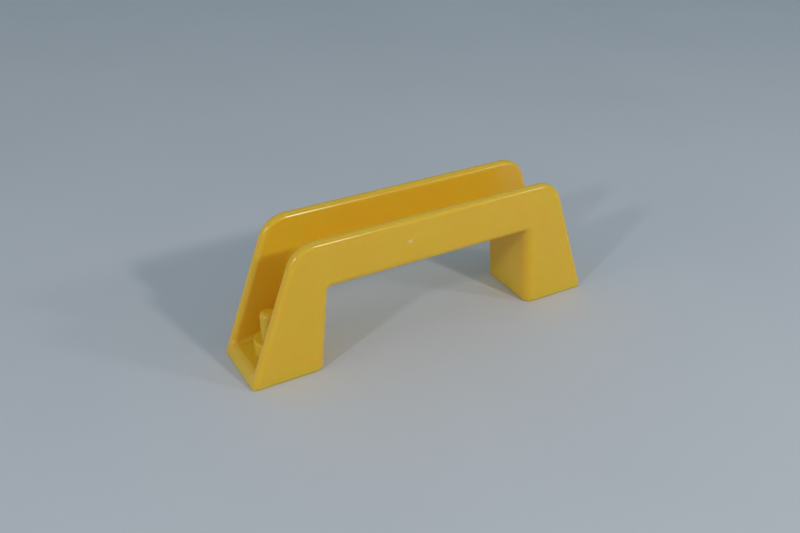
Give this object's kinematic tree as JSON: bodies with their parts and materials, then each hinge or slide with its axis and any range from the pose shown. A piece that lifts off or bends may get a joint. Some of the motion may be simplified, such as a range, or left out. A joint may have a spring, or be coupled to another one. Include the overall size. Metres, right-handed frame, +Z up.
{
  "type": "bridge pull handle",
  "caption": "Moulded bridge pull handle with sloped ends, an open trough over its back and a threaded insert in each foot.",
  "frame": {"origin": "middle of the handle on the plane of the undersides of its feet", "axes": "+X along the grip, +Y through the grip from front to back, +Z up away from the feet"},
  "size_m": [0.1512, 0.0294, 0.0544],
  "materials": {
    "yellow_plastic": "smooth moulded, semi-gloss",
    "brass": "turned and knurled"
  },
  "bodies": {
    "root": {"handle_body": "yellow_plastic", "left_threaded_insert": "brass", "right_threaded_insert": "brass"}
  },
  "joints": []
}
